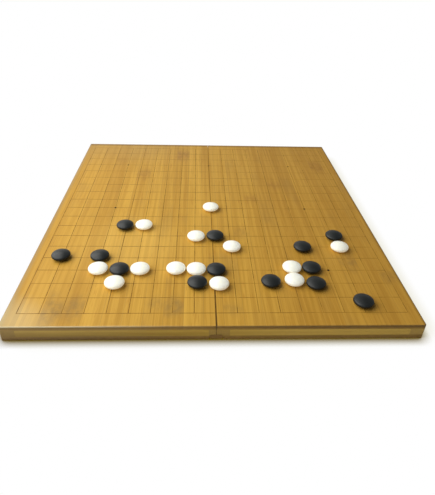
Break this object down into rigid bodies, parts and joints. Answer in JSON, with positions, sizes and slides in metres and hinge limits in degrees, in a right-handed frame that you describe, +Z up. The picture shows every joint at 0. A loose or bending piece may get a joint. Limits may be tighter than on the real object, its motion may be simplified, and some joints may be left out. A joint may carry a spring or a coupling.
{
  "type": "folding chess and go board",
  "caption": "Folding layered bamboo board with a line grid above, chess squares beneath, hinge links and loose stones.",
  "frame": {"origin": "on the table under the middle of the joint between the two halves, the board lying open", "axes": "+X across the halves to the right, +Y along the joint to the back edge, +Z up out of the go side"},
  "size_m": [0.4206, 0.464, 0.028],
  "materials": {
    "go_side_bamboo": "satin lacquer",
    "line_filling": "matte dark filling",
    "rail_bamboo": "satin lacquer",
    "core_bamboo": "raw",
    "chess_side_bamboo": "satin lacquer",
    "dark_inlay": "satin lacquer",
    "hinge_link": "bronze brown",
    "pivot_screw": "bronze brown",
    "black_stone": "matte slate",
    "white_stone": "soft polish"
  },
  "bodies": {
    "hinge_links": {"front_hinge_link": "hinge_link", "back_hinge_link": "hinge_link"},
    "left_half": {"left_go_panel": "go_side_bamboo", "left_go_grid": "line_filling", "left_outer_rail": "rail_bamboo", "left_seam_rail": "rail_bamboo", "left_front_rail": "rail_bamboo", "left_back_rail": "rail_bamboo", "left_core": "core_bamboo", "left_chess_panel": "chess_side_bamboo", "left_dark_squares": "dark_inlay", "left_front_pivot_screw": "pivot_screw", "left_back_pivot_screw": "pivot_screw"},
    "right_half": {"right_go_panel": "go_side_bamboo", "right_go_grid": "line_filling", "right_outer_rail": "rail_bamboo", "right_seam_rail": "rail_bamboo", "right_front_rail": "rail_bamboo", "right_back_rail": "rail_bamboo", "right_core": "core_bamboo", "right_chess_panel": "chess_side_bamboo", "right_dark_squares": "dark_inlay", "right_front_pivot_screw": "pivot_screw", "right_back_pivot_screw": "pivot_screw"},
    "black_stone_01": {"black_stone_01": "black_stone"},
    "black_stone_02": {"black_stone_02": "black_stone"},
    "black_stone_03": {"black_stone_03": "black_stone"},
    "black_stone_04": {"black_stone_04": "black_stone"},
    "black_stone_05": {"black_stone_05": "black_stone"},
    "black_stone_06": {"black_stone_06": "black_stone"},
    "black_stone_07": {"black_stone_07": "black_stone"},
    "black_stone_08": {"black_stone_08": "black_stone"},
    "black_stone_09": {"black_stone_09": "black_stone"},
    "black_stone_10": {"black_stone_10": "black_stone"},
    "black_stone_11": {"black_stone_11": "black_stone"},
    "black_stone_12": {"black_stone_12": "black_stone"},
    "black_stone_13": {"black_stone_13": "black_stone"},
    "white_stone_01": {"white_stone_01": "white_stone"},
    "white_stone_02": {"white_stone_02": "white_stone"},
    "white_stone_03": {"white_stone_03": "white_stone"},
    "white_stone_04": {"white_stone_04": "white_stone"},
    "white_stone_05": {"white_stone_05": "white_stone"},
    "white_stone_06": {"white_stone_06": "white_stone"},
    "white_stone_07": {"white_stone_07": "white_stone"},
    "white_stone_08": {"white_stone_08": "white_stone"},
    "white_stone_09": {"white_stone_09": "white_stone"},
    "white_stone_10": {"white_stone_10": "white_stone"},
    "white_stone_11": {"white_stone_11": "white_stone"},
    "white_stone_12": {"white_stone_12": "white_stone"},
    "white_stone_13": {"white_stone_13": "white_stone"}
  },
  "joints": [
    {"name": "right_fold", "type": "hinge", "parent": "hinge_links", "child": "right_half", "pos_m": [0.0041, 0, 0.0039], "axis": [0, 1, 0], "range_deg": [0, 90]},
    {"name": "left_fold", "type": "hinge", "parent": "hinge_links", "child": "left_half", "pos_m": [-0.0041, 0, 0.0039], "axis": [0, -1, 0], "range_deg": [0, 90]},
    {"name": "black_stone_01_lift", "type": "slide", "parent": "left_half", "child": "black_stone_01", "axis": [0, 0, 1], "range_m": [0, 0.06]},
    {"name": "black_stone_02_lift", "type": "slide", "parent": "left_half", "child": "black_stone_02", "axis": [0, 0, 1], "range_m": [0, 0.06]},
    {"name": "black_stone_03_lift", "type": "slide", "parent": "left_half", "child": "black_stone_03", "axis": [0, 0, 1], "range_m": [0, 0.06]},
    {"name": "black_stone_04_lift", "type": "slide", "parent": "right_half", "child": "black_stone_04", "axis": [0, 0, 1], "range_m": [0, 0.06]},
    {"name": "black_stone_05_lift", "type": "slide", "parent": "left_half", "child": "black_stone_05", "axis": [0, 0, 1], "range_m": [0, 0.06]},
    {"name": "black_stone_06_lift", "type": "slide", "parent": "left_half", "child": "black_stone_06", "axis": [0, 0, 1], "range_m": [0, 0.06]},
    {"name": "black_stone_07_lift", "type": "slide", "parent": "right_half", "child": "black_stone_07", "axis": [0, 0, 1], "range_m": [0, 0.06]},
    {"name": "black_stone_08_lift", "type": "slide", "parent": "right_half", "child": "black_stone_08", "axis": [0, 0, 1], "range_m": [0, 0.06]},
    {"name": "black_stone_09_lift", "type": "slide", "parent": "right_half", "child": "black_stone_09", "axis": [0, 0, 1], "range_m": [0, 0.06]},
    {"name": "black_stone_10_lift", "type": "slide", "parent": "right_half", "child": "black_stone_10", "axis": [0, 0, 1], "range_m": [0, 0.06]},
    {"name": "black_stone_11_lift", "type": "slide", "parent": "right_half", "child": "black_stone_11", "axis": [0, 0, 1], "range_m": [0, 0.06]},
    {"name": "black_stone_12_lift", "type": "slide", "parent": "right_half", "child": "black_stone_12", "axis": [0, 0, 1], "range_m": [0, 0.06]},
    {"name": "black_stone_13_lift", "type": "slide", "parent": "right_half", "child": "black_stone_13", "axis": [0, 0, 1], "range_m": [0, 0.06]},
    {"name": "white_stone_01_lift", "type": "slide", "parent": "left_half", "child": "white_stone_01", "axis": [0, 0, 1], "range_m": [0, 0.06]},
    {"name": "white_stone_02_lift", "type": "slide", "parent": "left_half", "child": "white_stone_02", "axis": [0, 0, 1], "range_m": [0, 0.06]},
    {"name": "white_stone_03_lift", "type": "slide", "parent": "left_half", "child": "white_stone_03", "axis": [0, 0, 1], "range_m": [0, 0.06]},
    {"name": "white_stone_04_lift", "type": "slide", "parent": "left_half", "child": "white_stone_04", "axis": [0, 0, 1], "range_m": [0, 0.06]},
    {"name": "white_stone_05_lift", "type": "slide", "parent": "left_half", "child": "white_stone_05", "axis": [0, 0, 1], "range_m": [0, 0.06]},
    {"name": "white_stone_06_lift", "type": "slide", "parent": "right_half", "child": "white_stone_06", "axis": [0, 0, 1], "range_m": [0, 0.06]},
    {"name": "white_stone_07_lift", "type": "slide", "parent": "left_half", "child": "white_stone_07", "axis": [0, 0, 1], "range_m": [0, 0.06]},
    {"name": "white_stone_08_lift", "type": "slide", "parent": "left_half", "child": "white_stone_08", "axis": [0, 0, 1], "range_m": [0, 0.06]},
    {"name": "white_stone_09_lift", "type": "slide", "parent": "left_half", "child": "white_stone_09", "axis": [0, 0, 1], "range_m": [0, 0.06]},
    {"name": "white_stone_10_lift", "type": "slide", "parent": "right_half", "child": "white_stone_10", "axis": [0, 0, 1], "range_m": [0, 0.06]},
    {"name": "white_stone_11_lift", "type": "slide", "parent": "right_half", "child": "white_stone_11", "axis": [0, 0, 1], "range_m": [0, 0.06]},
    {"name": "white_stone_12_lift", "type": "slide", "parent": "right_half", "child": "white_stone_12", "axis": [0, 0, 1], "range_m": [0, 0.06]},
    {"name": "white_stone_13_lift", "type": "slide", "parent": "right_half", "child": "white_stone_13", "axis": [0, 0, 1], "range_m": [0, 0.06]}
  ],
  "couplings": [
    {"joint": "left_fold", "follows": "right_fold", "ratio": 1}
  ]
}
